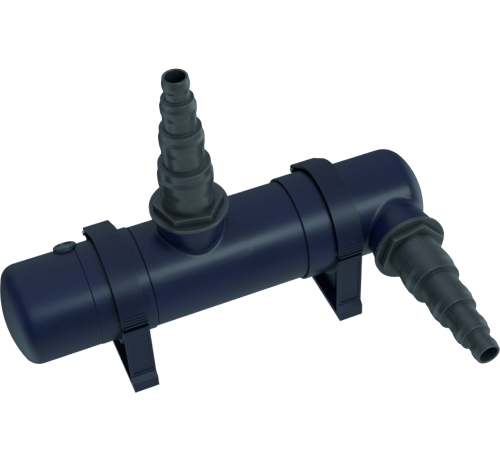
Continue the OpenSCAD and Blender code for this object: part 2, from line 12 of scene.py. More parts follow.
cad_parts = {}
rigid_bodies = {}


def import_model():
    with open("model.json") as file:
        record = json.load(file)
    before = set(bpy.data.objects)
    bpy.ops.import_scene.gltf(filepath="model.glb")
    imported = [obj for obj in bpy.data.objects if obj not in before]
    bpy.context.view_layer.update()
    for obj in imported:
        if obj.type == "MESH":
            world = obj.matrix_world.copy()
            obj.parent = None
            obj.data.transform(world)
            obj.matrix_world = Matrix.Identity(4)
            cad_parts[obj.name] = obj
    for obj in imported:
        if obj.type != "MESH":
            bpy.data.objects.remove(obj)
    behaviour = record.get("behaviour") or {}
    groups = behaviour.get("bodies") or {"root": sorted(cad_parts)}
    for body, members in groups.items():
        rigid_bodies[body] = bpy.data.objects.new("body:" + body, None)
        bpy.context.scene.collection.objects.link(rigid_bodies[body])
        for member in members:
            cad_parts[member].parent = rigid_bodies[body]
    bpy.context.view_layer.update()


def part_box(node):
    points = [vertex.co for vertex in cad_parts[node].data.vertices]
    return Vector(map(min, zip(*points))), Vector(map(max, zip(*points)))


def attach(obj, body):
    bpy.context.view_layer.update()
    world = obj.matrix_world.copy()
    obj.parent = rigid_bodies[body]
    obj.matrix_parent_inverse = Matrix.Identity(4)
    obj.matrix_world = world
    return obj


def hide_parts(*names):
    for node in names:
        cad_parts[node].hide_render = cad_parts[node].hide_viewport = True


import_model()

MM = 0.001
TURN = 2 * math.pi


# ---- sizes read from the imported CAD, in millimetres ----


def low(node, axis):
    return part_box(node)[0][axis] / MM


def high(node, axis):
    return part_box(node)[1][axis] / MM


def mid(node, axis):
    return (low(node, axis) + high(node, axis)) / 2


AXIS_Z = mid("head_collar", 2)
TUBE_R = high("main_tube", 1)
COLLAR_R = high("head_collar", 1)
RIM_R = high("outlet_cap", 1)
CAP_R = -low("lamp_head_cap", 1)
HEAD_TIP = low("lamp_head_cap", 0)
HEAD_JOINT = low("head_collar", 0)
COLLAR_JOINT = high("head_collar", 0)
OUTLET_RIM = low("outlet_cap", 0)
OUTLET_TIP = high("outlet_cap", 0)
INLET_X = mid("inlet_tail", 0)
OUTLET_X = mid("outlet_tail", 0)
FLANGE_Z = high("inlet_gasket", 2) - AXIS_Z + 0.05
CLAMP_LEFT = mid("left_bracket", 0)
SIGHT_X = mid("sight_glass", 0)
GLAND_X = mid("gland_seal", 0)

PORT_FACE = high("main_tube", 2) - AXIS_Z
PORT_ROOT_R = 23.6
PORT_RIM_R = 26.6
PORT_BORE_R = 21.1
PORT_THROAT_R = 16.5
HEAD_DOME = (17.2, 12.0)  # rise of the dome, radius of its edge
OUTLET_DOME = (20.9, 13.8)
SIGHT_LEAN = 33.0  # degrees the window leans back from straight up
GLAND_DROP = 30.0  # degrees the gland points down from straight back
JOINT_GROOVE = 0.8
INLET_HEX_TURN, OUTLET_HEX_TURN = 48.0, 12.5
TOP, FRONT = 90.0, 180.0  # degrees round the tube, from the back
COLUMNS = 180  # vertices round each large shell

# base colours, and the paler colour of their dust specks and of their outer edges, where it is partly wear
# and partly a painted highlight
HOUSING, HOUSING_DUST_AND_HIGHLIGHT = (0.0058, 0.0145, 0.0620), (0.05, 0.08, 0.14)
CLAMP, CLAMP_DUST_AND_HIGHLIGHT = (0.0074, 0.0142, 0.0480), (0.06, 0.09, 0.13)
TAIL, TAIL_DUST_AND_HIGHLIGHT = (0.062, 0.070, 0.070), (0.34, 0.40, 0.40)
BEZEL, BEZEL_DUST_AND_HIGHLIGHT = (0.10, 0.13, 0.15), (0.3, 0.38, 0.42)
WHITE, WHITE_DUST_AND_HIGHLIGHT = (0.72, 0.72, 0.67), (0.85, 0.85, 0.8)
BLACK, BLACK_DUST_AND_HIGHLIGHT = (0.012, 0.012, 0.014), (0.05, 0.05, 0.055)


# ---- mesh building ----


def along_tube(x, r, angle):
    return Vector((x, r * math.cos(angle), AXIS_Z + r * math.sin(angle)))


def along_inlet(t, r, angle):
    return Vector((INLET_X + r * math.cos(angle), r * math.sin(angle), AXIS_Z + t))


def along_outlet(t, r, angle):
    return Vector((OUTLET_X + r * math.cos(angle), -t, AXIS_Z + r * math.sin(angle)))


def along_sight(t, r, angle):
    lean = math.radians(SIGHT_LEAN)
    u, v = r * math.cos(angle), r * math.sin(angle)
    return Vector(
        (
            SIGHT_X + u,
            v * math.cos(lean) + t * math.sin(lean),
            AXIS_Z - v * math.sin(lean) + t * math.cos(lean),
        )
    )


def rounded(points, steps=4):
    """A line through (a, b, fillet radius) points, with each corner rounded."""
    out = []
    for i, (a, b, fillet) in enumerate(points):
        if fillet <= 0 or i in (0, len(points) - 1):
            out.append((a, b))
            continue
        p = Vector((a, b))
        to_last = Vector(points[i - 1][:2]) - p
        to_next = Vector(points[i + 1][:2]) - p
        room = 0.49 * min(to_last.length, to_next.length)
        to_last.normalize()
        to_next.normalize()
        half = to_last.angle(to_next) / 2
        if half > math.radians(89):
            out.append((a, b))
            continue
        reach = min(fillet / math.tan(half), room)
        radius = reach * math.tan(half)
        centre = p + (to_last + to_next).normalized() * (radius / math.sin(half))
        start, end = p + to_last * reach - centre, p + to_next * reach - centre
        a0 = math.atan2(start.y, start.x)
        sweep = (math.atan2(end.y, end.x) - a0 + math.pi) % TURN - math.pi
        for k in range(steps + 1):
            t = a0 + sweep * k / steps
            out.append((centre.x + radius * math.cos(t), centre.y + radius * math.sin(t)))
    return out


class Form:
    """Vertices and faces being gathered for one piece, in millimetres."""

    def __init__(self):
        self.points = []
        self.faces = []

    def add(self, point):
        self.points.append(Vector(point))
        return len(self.points) - 1

    def ring(self, points):
        return [self.add(p) for p in points]

    def bridge(self, a, b, closed=True):
        n = len(a)
        for i in range(n if closed else n - 1):
            j = (i + 1) % n
            self.faces.append((a[i], a[j], b[j], b[i]))

    def fan(self, loop, point):
        centre = self.add(point)
        for i in range(len(loop)):
            self.faces.append((loop[i], loop[(i + 1) % len(loop)], centre))

    def lathe(self, line, place, columns=128, closed=False, radius=None):
        """Turns the line of (t, r) points. Where it ends on the axis it closes to a point."""
        rings = []
        for t, r in line:
            if r < 1e-6:
                rings.append(None)
                continue
            angles = [TURN * c / columns for c in range(columns)]
            rings.append(self.ring(place(t, radius(r, t, a) if radius else r, a) for a in angles))
        for a, b in zip(rings, rings[1:]):
            if a and b:
                self.bridge(a, b)
        if closed:
            self.bridge(rings[-1], rings[0])
            return
        for end, step in ((0, 1), (-1, -1)):
            if rings[end] is None:
                beside = rings[end + step]
                self.fan(beside, place(line[end][0], 0, 0))


def finish_mesh(mesh):
    bm = bmesh.new()
    bm.from_mesh(mesh)
    bmesh.ops.remove_doubles(bm, verts=bm.verts, dist=2e-7)
    bmesh.ops.recalc_face_normals(bm, faces=bm.faces)
    for face in bm.faces:
        face.smooth = True
    bm.to_mesh(mesh)
    bm.free()


def piece(name, form, material, body, nodes=(), sharp=38.0):
    mesh = bpy.data.meshes.new(name)
    mesh.from_pydata([p * MM for p in form.points], [], form.faces)
    mesh.validate()
    finish_mesh(mesh)
    mesh.set_sharp_from_angle(angle=math.radians(sharp))
    obj = bpy.data.objects.new(name, mesh)
    bpy.context.scene.collection.objects.link(obj)
    mesh.materials.append(material)
    smooth = obj.modifiers.new("even_normals", "WEIGHTED_NORMAL")
    smooth.keep_sharp = True
    smooth.weight = 60
    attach(obj, body)
    if nodes:
        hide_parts(*nodes)
    return obj


# ---- shells: a turned wall with ports that blend into it ----


class Wall:
    """A turned surface given by rows of (x, r), with patches left open for its ports."""

    def __init__(self, form, rows, radius_at, columns):
        self.form, self.rows, self.radius_at, self.columns = form, rows, radius_at, columns
        self.holes = []

    def hole(self, x0, x1, angle, half_angle):
        xs = [r[0] for r in self.rows]
        r0 = min(range(len(xs)), key=lambda i: abs(xs[i] - x0))
        r1 = min(range(len(xs)), key=lambda i: abs(xs[i] - x1))
        r0, r1 = min(r0, r1), max(r0, r1)
        centre = round(angle / 360 * self.columns)
        reach = round(half_angle / 360 * self.columns)
        self.holes.append((r0, r1, centre - reach, centre + reach))

    def build(self):
        n = self.columns
        inside, gone = set(), set()
        for r0, r1, c0, c1 in self.holes:
            inside |= {(r, c % n) for r in range(r0 + 1, r1) for c in range(c0 + 1, c1)}
            gone |= {(r, c % n) for r in range(r0, r1) for c in range(c0, c1)}
        self.ids = {}
        for r, (x, radius) in enumerate(self.rows):
            if radius < 1e-6:
                pole = self.form.add(along_tube(x, 0, 0))
                for c in range(n):
                    self.ids[r, c] = pole
                continue
            for c in range(n):
                if (r, c) not in inside:
                    self.ids[r, c] = self.form.add(along_tube(x, radius, TURN * c / n))
        for r in range(len(self.rows) - 1):
            for c in range(n):
                if (r, c) in gone:
                    continue
                d = (c + 1) % n
                quad = [self.ids[r, c], self.ids[r, d], self.ids[r + 1, d], self.ids[r + 1, c]]
                quad = [v for i, v in enumerate(quad) if v not in quad[:i]]
                if len(quad) > 2:
                    self.form.faces.append(tuple(quad))

    def border(self, hole):
        """The hole's outline as (vertex, x, angle in radians), walked from its end of least x."""
        r0, r1, c0, c1 = self.holes[hole]
        step = 1
        if self.rows[r0][0] > self.rows[r1][0]:
            r0, r1, step = r1, r0, -1
        walk = [(r0, c) for c in range(c0, c1)]
        walk += [(r, c1) for r in range(r0, r1, step)]
        walk += [(r1, c) for c in range(c1, c0, -1)]
        walk += [(r, c0) for r in range(r1, r0, -step)]
        n = self.columns
        return [(self.ids[r, c % n], self.rows[r][0], TURN * c / n) for r, c in walk]

    def height(self, port_x, reach, phi):
        """How far from the axis this wall lies, at a distance from a port's own axis."""
        radius = self.radius_at(port_x + reach * math.cos(phi))
        return math.sqrt(max(radius**2 - (reach * math.sin(phi)) ** 2, 1e-6))

    def patch(self, hole, port_x, angle, ring, reaches, rings=7):
        """Fills a hole between its outline and the port's ring of vertices at (bearing, reach) pairs."""
        border = self.border(hole)
        loops = [[b[0] for b in border]]
        ends = []
        for phi, reach in reaches:
            side = reach * math.sin(phi)
            end_angle = angle + math.atan2(side, self.height(port_x, reach, phi))
            ends.append((port_x + reach * math.cos(phi), end_angle))
        for k in range(1, rings):
            share = (k / rings) ** 0.8
            loop = []
            for (_, x, a), (ex, ea) in zip(border, ends):
                px, pa = x + (ex - x) * share, a + (ea - a) * share
                loop.append(self.form.add(along_tube(px, self.radius_at(px), pa)))
            loops.append(loop)
        loops.append(ring)
        for a, b in zip(loops, loops[1:]):
            self.form.bridge(a, b)

    def bearings(self, hole, port_x, angle):
        """The direction of each border vertex as seen from the port."""
        return [
            math.atan2(self.radius_at(x) * math.sin(a - angle), x - port_x) for _, x, a in self.border(hole)
        ]


def port_point(port_x, angle, reach, phi, height):
    side = reach * math.sin(phi)
    return Vector(
        (
            port_x + reach * math.cos(phi),
            height * math.cos(angle) - side * math.sin(angle),
            AXIS_Z + height * math.sin(angle) + side * math.cos(angle),
        )
    )


def add_port(outer, inner, hole, port_x, degrees, boss, bore, spread, climb, steps=8):
    """A port through both walls, at port_x and degrees round the tube, with a bore of the given radius.

    boss holds the function that gives its outside radius at a height above the axis, and the line of
    (reach, height) from its side over its rim and into its bore. The fillet at its foot reaches spread
    outwards and climb upwards."""
    angle = math.radians(degrees)
    form = outer.form
    radius_at_height, rim_line = boss
    phis = outer.bearings(hole, port_x, angle)
    columns, reaches = [], []
    for phi in phis:
        reach = radius_at_height(outer.radius_at(port_x))
        for _ in range(12):
            reach = radius_at_height(outer.height(port_x, reach, phi))
        foot = Vector((reach, outer.height(port_x, reach, phi)))
        out_reach = reach + spread
        start = Vector((out_reach, outer.height(port_x, out_reach, phi)))
        rise = foot.y + climb
        end = Vector((radius_at_height(rise), rise))
        column = []
        for k in range(steps + 1):
            t = k / steps
            column.append(start * (1 - t) ** 2 + foot * (2 * t * (1 - t)) + end * t * t)
        reaches.append((phi, out_reach))
        columns.append(column)
    rings = []
    for k in range(steps + 1):
        rings.append(
            form.ring(port_point(port_x, angle, c[k].x, phi, c[k].y) for phi, c in zip(phis, columns))
        )
    for reach, height in rim_line:
        rings.append(form.ring(port_point(port_x, angle, reach, phi, height) for phi in phis))
    inner_ring = form.ring(
        port_point(port_x, angle, bore, phi, inner.height(port_x, bore, phi)) for phi in phis
    )
    rings.append(inner_ring)
    for a, b in zip(rings, rings[1:]):
        form.bridge(a, b)
    outer.patch(hole, port_x, angle, rings[0], reaches)
    inner.patch(hole, port_x, angle, inner_ring, [(phi, bore) for phi in phis], rings=4)


def dome_radius(tip, rise, edge, r, inset, side):
    """A function giving a dome's radius at x. side is 1 where the dome points to +X."""
    face = ((r - edge) ** 2 + rise**2 - edge**2) / (2 * (rise - edge))
    split = edge * math.cos(math.asin((r - edge) / (face - edge)))

    def radius_at(x):
        depth = (tip - x) * side  # how far below the tip
        h = rise - depth
        if h <= 0:
            return r - inset
        if h * edge <= split * (edge - inset):
            return r - edge + math.sqrt(max((edge - inset) ** 2 - h**2, 0))
        return math.sqrt(max((face - inset) ** 2 - (h - rise + face) ** 2, 0))

    return radius_at


def dome_rows(radius_at, tip, rise, inset, side, count):
    """Rows from a dome's foot to its tip, closer together as it flattens."""
    rows = []
    for k in range(count + 1):
        depth = (rise - inset) * (1 - math.sin(math.pi / 2 * k / count)) + inset
        x = tip - depth * side
        rows.append((x, 0.0 if k == count else radius_at(x)))
    return rows


def spaced(x0, x1, step):
    count = max(1, round(abs(x1 - x0) / step))
    return [x0 + (x1 - x0) * k / count for k in range(count + 1)]


def standard_boss():
    """The outside radius of a hose port at a height, and the line over its rim into its bore."""
    rim_h, taper_from = 2.4, 36.0
    rim_z = PORT_FACE - rim_h

    def radius(height):
        share = min(max((height - taper_from) / (rim_z - taper_from), 0), 1)
        return PORT_ROOT_R + (PORT_RIM_R - 0.4 - PORT_ROOT_R) * share

    line = rounded(
        [
            (radius(rim_z - 1.5), rim_z - 1.5, 0),
            (radius(rim_z), rim_z, 0.25),
            (PORT_RIM_R, rim_z + 0.35, 0.3),
            (PORT_RIM_R, PORT_FACE, 0.5),
            (PORT_BORE_R, PORT_FACE, 0.5),
            (PORT_BORE_R, PORT_FACE - 15, 0.3),
            (PORT_THROAT_R, PORT_FACE - 15, 0.3),
            (PORT_THROAT_R, PORT_FACE - 17, 0),
        ]
    )
    return radius, line


def make_main_tube(material):
    form = Form()
    start_x, end_x = low("main_tube", 0), high("main_tube", 0)
    bore_r, spigot_r = TUBE_R - 3, 35.95
    hole = (INLET_X - 34, INLET_X + 34)
    groove_x = COLLAR_JOINT + JOINT_GROOVE
    front = rounded(
        [
            (start_x, bore_r + 1, 0),
            (start_x, spigot_r, 0.4),
            (groove_x, spigot_r, 0.2),
            (groove_x, TUBE_R, 0.35),
            (COLLAR_JOINT + 4, TUBE_R, 0),
        ]
    )
    back = rounded(
        [(end_x - 1, TUBE_R, 0), (end_x, TUBE_R, 0.5), (end_x, bore_r, 0.5), (end_x - 2, bore_r, 0)]
    )
    body = spaced(hole[0], hole[1], 2) + spaced(hole[1] + 2, end_x - 1, 4)
    outer_rows = front + [(x, TUBE_R) for x in body] + back[1:]
    inner_xs = spaced(end_x - 2, hole[1] + 2, 6) + spaced(hole[1], hole[0], 2) + [start_x]
    inner_rows = [(x, bore_r) for x in inner_xs] + [(start_x, bore_r + 1)]
    outer = Wall(form, outer_rows, lambda x: TUBE_R, COLUMNS)
    inner = Wall(form, inner_rows, lambda x: bore_r, COLUMNS)
    for wall in (outer, inner):
        wall.hole(hole[0], hole[1], TOP, 56)
        wall.build()
    add_port(outer, inner, 0, INLET_X, TOP, standard_boss(), PORT_THROAT_R, 2.2, 2.2)
    return piece("main_tube_shell", form, material, "housing", ["main_tube"])


def make_outlet_cap(material):
    form = Form()
    rise, edge_r = OUTLET_DOME
    wall = 3.0
    bore_r = TUBE_R + 0.3
    step_x = high("main_tube", 0) + 2.9
    outer_radius = dome_radius(OUTLET_TIP, rise, edge_r, CAP_R, 0, 1)
    inner_radius = dome_radius(OUTLET_TIP, rise, edge_r, CAP_R, wall, 1)
    hole = (OUTLET_X - 29.6, OUTLET_X + 30.4)
    sleeve_end = 92.4
    rim = rounded(
        [
            (step_x, CAP_R - wall, 0),
            (step_x, bore_r, 0.2),
            (OUTLET_RIM, bore_r, 0.4),
            (OUTLET_RIM, RIM_R, 0.55),
            (sleeve_end, RIM_R, 0.8),
            (sleeve_end + 2.5, CAP_R, 0.8),
            (hole[0], CAP_R, 0),
        ]
    )
    rows = rim[:-1] + [(x, outer_radius(x)) for x in spaced(hole[0], hole[1], 1.8)]
    tail = dome_rows(outer_radius, OUTLET_TIP, rise, 0, 1, 40)
    rows += [row for row in tail if row[0] > hole[1] + 0.2]
    outer = Wall(form, rows, outer_radius, COLUMNS)
    inner_rows = [(step_x, CAP_R - wall)]
    inner_rows += [(x, inner_radius(x)) for x in spaced(hole[0], hole[1], 1.8)]
    tail = dome_rows(inner_radius, OUTLET_TIP, rise, wall, 1, 40)
    inner_rows += [row for row in tail if row[0] > hole[1] + 0.2]
    inner = Wall(form, inner_rows, inner_radius, COLUMNS)
    for w in (outer, inner):
        w.hole(hole[0], hole[1], FRONT, 56)
        w.build()
    add_port(outer, inner, 0, OUTLET_X, FRONT, standard_boss(), PORT_THROAT_R, 3.4, 3.4)
    return piece("outlet_cap_shell", form, material, "outlet_cap_body", ["outlet_cap"])


def make_head_collar(material):
    form = Form()
    bulkhead_x = low("bulkhead", 0) + 7.25
    seal_x = HEAD_JOINT + 13.3
    line = rounded(
        [
            (seal_x, 35.2, 0),
            (HEAD_JOINT, 35.2, 0.4),
            (HEAD_JOINT, TUBE_R, 0.5),
            (CLAMP_LEFT, TUBE_R, 0.3),
            (CLAMP_LEFT, COLLAR_R, 0.5),
            (COLLAR_JOINT, COLLAR_R, 0.6),
            (COLLAR_JOINT, 36, 0.3),
            (bulkhead_x, 36, 0),
            (bulkhead_x, 33, 0),
            (seal_x, 33, 0),
        ]
    )
    form.lathe(line, along_tube, COLUMNS, closed=True)
    return piece("head_collar_shell", form, material, "housing", ["head_collar"])


def make_lamp_head(material):
    form = Form()
    rise, edge_r = HEAD_DOME
    wall = 2.6
    spigot_end = high("lamp_head_cap", 0)
    spigot_r, spigot_bore_r = 34.9, 31.6
    pad_r, pad_reach, shank_r = 10.5, 39.0, 6.05
    outer_radius = dome_radius(HEAD_TIP, rise, edge_r, CAP_R, 0, -1)
    inner_radius = dome_radius(HEAD_TIP, rise, edge_r, CAP_R, wall, -1)
    hole = (GLAND_X + 15, GLAND_X - 14.4)
    rim_x = HEAD_JOINT - 0.05
    step_x = HEAD_JOINT - 4
    rim = rounded(
        [
            (spigot_end, spigot_bore_r, 0),
            (spigot_end, spigot_r, 0.4),
            (rim_x, spigot_r, 0.2),
            (rim_x, CAP_R, 0.5),
            (rim_x - 4, CAP_R, 0),
            (hole[0], CAP_R, 0),
        ]
    )
    rows = rim[:-1] + [(x, outer_radius(x)) for x in spaced(hole[0], hole[1], 1.8)]
    tail = dome_rows(outer_radius, HEAD_TIP, rise, 0, -1, 36)
    rows += [row for row in tail if row[0] < hole[1] - 0.2]
    inner_rows = [(spigot_end, spigot_bore_r), (step_x, spigot_bore_r), (step_x, CAP_R - wall)]
    inner_rows += [(x, inner_radius(x)) for x in spaced(hole[0], hole[1], 1.8)]
    tail = dome_rows(inner_radius, HEAD_TIP, rise, wall, -1, 30)
    inner_rows += [row for row in tail if row[0] < hole[1] - 0.2]
    outer = Wall(form, rows, outer_radius, COLUMNS)
    inner = Wall(form, inner_rows, inner_radius, COLUMNS)
    for w in (outer, inner):
        w.hole(hole[0], hole[1], 360 - GLAND_DROP, 24)
        w.build()
    pad = rounded(
        [
            (pad_r, pad_reach - 1, 0),
            (pad_r, pad_reach, 0.5),
            (shank_r, pad_reach, 0.2),
            (shank_r, pad_reach - 3, 0),
        ]
    )
    boss = (lambda height: pad_r, pad)
    add_port(outer, inner, 0, GLAND_X, 360 - GLAND_DROP, boss, shank_r, 1.5, 1.0, steps=5)
    return piece("lamp_head_shell", form, material, "lamp_head", ["lamp_head_cap"])


# ---- hose tails ----

BARB_D = (39, 31.2, 24.6, 18.8)
BARB_LENGTH = (36.6, 30.4, 24, 14.4)
RIM_DROP, FOOT_DROP = 2.4, 1.6  # how far a barb's rim and the next neck's foot lie below its full length
FLANGE_T, HEX_T, HEX_R = 2.4, 5.4, 25.5
THREAD_LENGTH, THREAD_PITCH, THREAD_ROWS = 12.5, 2.309, 8  # rows of vertices in each turn
TAIL_BORE_R = (15.6, 11.7, 8.4, 6.84)  # the bore behind each barb


def barb_base(i):
    return FLANGE_T + HEX_T + sum(BARB_LENGTH[:i])


def barb_line(i):
    """One stepped barb, from the foot of its neck over its ring to its rim."""
    z, length, r = barb_base(i), BARB_LENGTH[i], BARB_D[i] / 2
    shape = [(0.34, -0.8, 4), (0.48, -0.1, 3), (0.6, 0.0, 2), (0.672, 0.0, 0.3)]
    line = [(z + share * length, r + dr, fillet) for share, dr, fillet in shape]
    foot = (z, r - 0.8, 0) if i == 0 else (z - FOOT_DROP, r - 0.8, 0.25)
    if i < 3:
        rim = [(z + 0.77 * length, r - 0.95, 2.5), (z + length - RIM_DROP, r - 1.15, 0.3)]
    else:
        rim = [(z + 0.85 * length, r - 0.45, 0.8), (z + length, r - 0.75, 0.7)]
    return [foot, *line, *rim]


def hexagon(place, t, corner_r, turn, fillet, per_corner=6):
    """A hexagon with rounded corners, as points round a hose tail's axis."""
    points = []
    inner = corner_r - fillet / math.cos(math.radians(30))
    for k in range(6):
        centre = math.radians(60 * k + turn)
        for j in range(per_corner + 1):
            a = centre + math.radians(-30 + 60 * j / per_corner)
            x = inner * math.cos(centre) + fillet * math.cos(a)
            y = inner * math.sin(centre) + fillet * math.sin(a)
            points.append(place(t, math.hypot(x, y), math.atan2(y, x)))
    return points


def make_hose_tail(name, place, turn, body, material):
    form = Form()
    flange_r = (high("inlet_tail", 1) - low("inlet_tail", 1)) / 2
    root_r, crest_r = 19.8, 20.8
    top = barb_base(4)
    line = [(FLANGE_T, flange_r, 0.45), (FLANGE_T, BARB_D[0] / 2 - 0.8, 0)]
    for i in range(4):
        line += barb_line(i)
    line.append((top, TAIL_BORE_R[3], 0.6))
    for i in (3, 2, 1):
        step = barb_base(i) - 4
        line += [(step, TAIL_BORE_R[i], 0.4), (step - (5 - i), TAIL_BORE_R[i - 1], 0.4)]
    thread_end = -THREAD_LENGTH + 0.8
    line += [(-THREAD_LENGTH, TAIL_BORE_R[0], 0.6), (-THREAD_LENGTH, 19.2, 0.3), (thread_end, root_r, 0)]
    row = THREAD_PITCH / THREAD_ROWS
    count = round((THREAD_LENGTH - 2.4) / row)
    line += [(thread_end + (k + 1) * row, root_r, 0) for k in range(count)]
    line += [(-0.3, root_r, 0), (0, root_r, 0.2), (0, flange_r, 0.45)]
    first, last = -THREAD_LENGTH + 1.2, -1.6

    def threaded(r, t, angle):
        if abs(r - root_r) > 1e-6 or not first < t < last:
            return r
        phase = (t / THREAD_PITCH - angle / TURN) % 1
        crest = max(0.0, min(1.0, (0.36 - abs(phase - 0.5)) / 0.2))
        fade = min(1.0, (t - first) / 1.2, (last - t) / 1.2)
        return r + (crest_r - root_r) * crest * fade

    def at(t, r, angle):
        return place(FLANGE_Z + t, r, angle)

    form.lathe(rounded(line), at, 120, closed=True, radius=threaded)
    chamfer = 0.7
    loops = [
        hexagon(at, FLANGE_T - 0.4, HEX_R, turn, 1.2),
        hexagon(at, FLANGE_T + HEX_T - chamfer, HEX_R, turn, 1.2),
        hexagon(at, FLANGE_T + HEX_T - chamfer * 0.3, HEX_R - chamfer * 0.3, turn, 1.2),
        hexagon(at, FLANGE_T + HEX_T, HEX_R - chamfer, turn, 1.2),
        hexagon(at, FLANGE_T + HEX_T, BARB_D[0] / 2 - 1.4, turn, 1.2),
        hexagon(at, FLANGE_T - 0.4, BARB_D[0] / 2 - 1.4, turn, 1.2),
    ]
    rings = [form.ring(loop) for loop in loops]
    for a, b in zip(rings, rings[1:] + rings[:1]):
        form.bridge(a, b)
    return piece(name + "_moulding", form, material, body, [name], sharp=28)


# ---- sight glass ----


def make_sight_ring(material):
    form = Form()
    ring_r, well_r, view_r, neck_r = 8.4, 5.4, 3.2, 4.1
    seat, rim, neck_end = 38.4, 40.3, 33.0
    foot = 0.0  # stands for the surface that the ring sits on
    overhang_u = HEAD_JOINT - 1.0 - SIGHT_X

    def at(t, r, angle):
        if t == foot:
            u, v = r * math.cos(angle), r * math.sin(angle)
            over = TUBE_R + 0.35 if u > overhang_u else CAP_R - 0.3
            t = math.sqrt(over**2 - v**2)
        return along_sight(t, r, angle)

    bezel = rounded(
        [
            (38.6, ring_r, 0),
            (rim - 1, ring_r, 0.25),
            (rim, ring_r - 1.5, 0.5),
            (rim, well_r + 0.1, 0.35),
            (rim - 1.1, well_r, 0.1),
            (seat, well_r, 0.1),
            (seat, view_r, 0.1),
            (neck_end, view_r, 0.2),
            (neck_end, neck_r, 0.2),
            (36.4, neck_r, 0),
        ]
    )
    underside = [(foot, neck_r + 0.3 + 0.5 * k) for k in range(8)]
    form.lathe([(foot, ring_r), *bezel, *underside], at, 96, closed=True)
    return piece("sight_bezel", form, material, "lamp_head", ["sight_ring"])


def make_sight_lens(material):
    form = Form()
    low_t, edge_t, lens_r, crown = 38.45, 39.2, 5.3, 0.55
    line = [(low_t, 0), (low_t, lens_r), (edge_t, lens_r)]
    for degrees in (10, 25, 40, 55, 70, 82):
        a = math.radians(degrees)
        line.append((edge_t + crown * math.sin(a), (lens_r - 0.05) * math.cos(a)))
    line.append((edge_t + crown, 0))
    form.lathe(line, along_sight, 72)
    return piece("sight_lens", form, material, "lamp_head", ["sight_glass"])


# ---- carried-over CAD nodes ----


def soften(node, width, material, angle=32):
    """Rounds the edges of a CAD node's shown surface and gives it a material."""
    obj = bpy.data.objects[node]
    merge = obj.modifiers.new("flat_faces", "DECIMATE")
    merge.decimate_type = "DISSOLVE"
    merge.angle_limit = math.radians(0.6)
    bevel = obj.modifiers.new("edges", "BEVEL")
    bevel.width = width * MM
    bevel.segments = 2
    bevel.limit_method = "ANGLE"
    bevel.angle_limit = math.radians(angle)
    bevel.use_clamp_overlap = True
    smooth = obj.modifiers.new("even_normals", "WEIGHTED_NORMAL")
    smooth.keep_sharp = True
    paint(node, material)


def paint(node, material):
    obj = bpy.data.objects[node]
    if obj.data.materials:
        for i in range(len(obj.material_slots)):
            obj.material_slots[i].material = material
    else:
        obj.data.materials.append(material)


# ---- materials ----


class Nodes:
    """A short way to wire a material's node tree."""

    def __init__(self, name):
        self.material = bpy.data.materials.new(name)
        self.material.use_nodes = True
        self.tree = self.material.node_tree
        self.shader = self.tree.nodes["Principled BSDF"]

    def add(self, kind, inputs=None, **settings):
        node = self.tree.nodes.new(kind)
        for key, value in settings.items():
            setattr(node, key, value)
        for key, value in (inputs or {}).items():
            self.feed(node.inputs[key], value)
        return node

    def feed(self, socket, value):
        if isinstance(value, bpy.types.NodeSocket):
            self.tree.links.new(value, socket)
        else:
            socket.default_value = value

    def noise(self, scale, detail=2.0, rough=0.5, stretch=None):
        coords = self.add("ShaderNodeTexCoord").outputs["Object"]
        if stretch:
            coords = self.add("ShaderNodeMapping", {"Vector": coords, "Scale": stretch}).outputs["Vector"]
        inputs = {"Vector": coords, "Scale": scale, "Detail": detail, "Roughness": rough}
        return self.add("ShaderNodeTexNoise", inputs).outputs["Fac"]

    def remap(self, value, from_low, from_high, to_low, to_high):
        inputs = {"Value": value, "From Min": from_low, "From Max": from_high}
        inputs.update({"To Min": to_low, "To Max": to_high})
        return self.add("ShaderNodeMapRange", inputs).outputs["Result"]

    def blend(self, share, a, b):
        node = self.add("ShaderNodeMix", data_type="RGBA")
        for name, value in (("Factor", share), ("A", a), ("B", b)):
            socket = next(i for i in node.inputs if i.name == name and i.enabled)
            self.feed(socket, value)
        return next(o for o in node.outputs if o.enabled)

    def hollows(self, reach):
        """1 out in the open, falling towards 0 in corners and recesses."""
        return self.add("ShaderNodeAmbientOcclusion", {"Distance": reach}, samples=6).outputs["AO"]

    def product(self, a, b):
        return self.add("ShaderNodeMath", {0: a, 1: b}, operation="MULTIPLY").outputs[0]

    def edges(self, radius):
        """0 on flat surface, rising towards 1 on convex and concave edges."""
        soft = self.add("ShaderNodeBevel", {"Radius": radius}, samples=4).outputs["Normal"]
        plain_normal = self.add("ShaderNodeNewGeometry").outputs["Normal"]
        dot = self.add("ShaderNodeVectorMath", operation="DOT_PRODUCT")
        self.feed(dot.inputs[0], soft)
        self.feed(dot.inputs[1], plain_normal)
        return self.remap(dot.outputs["Value"], 0.995, 0.91, 0.0, 1.0)

    def bump(self, *layers):
        """Layers of (height, distance in metres)."""
        normal = None
        for height, distance in layers:
            node = self.add("ShaderNodeBump", {"Height": height, "Strength": 1.0, "Distance": distance})
            if normal is not None:
                self.feed(node.inputs["Normal"], normal)
            normal = node.outputs["Normal"]
        self.feed(self.shader.inputs["Normal"], normal)

    def set(self, **values):
        for name, value in values.items():
            self.feed(self.shader.inputs[name.replace("_", " ")], value)
        return self.material


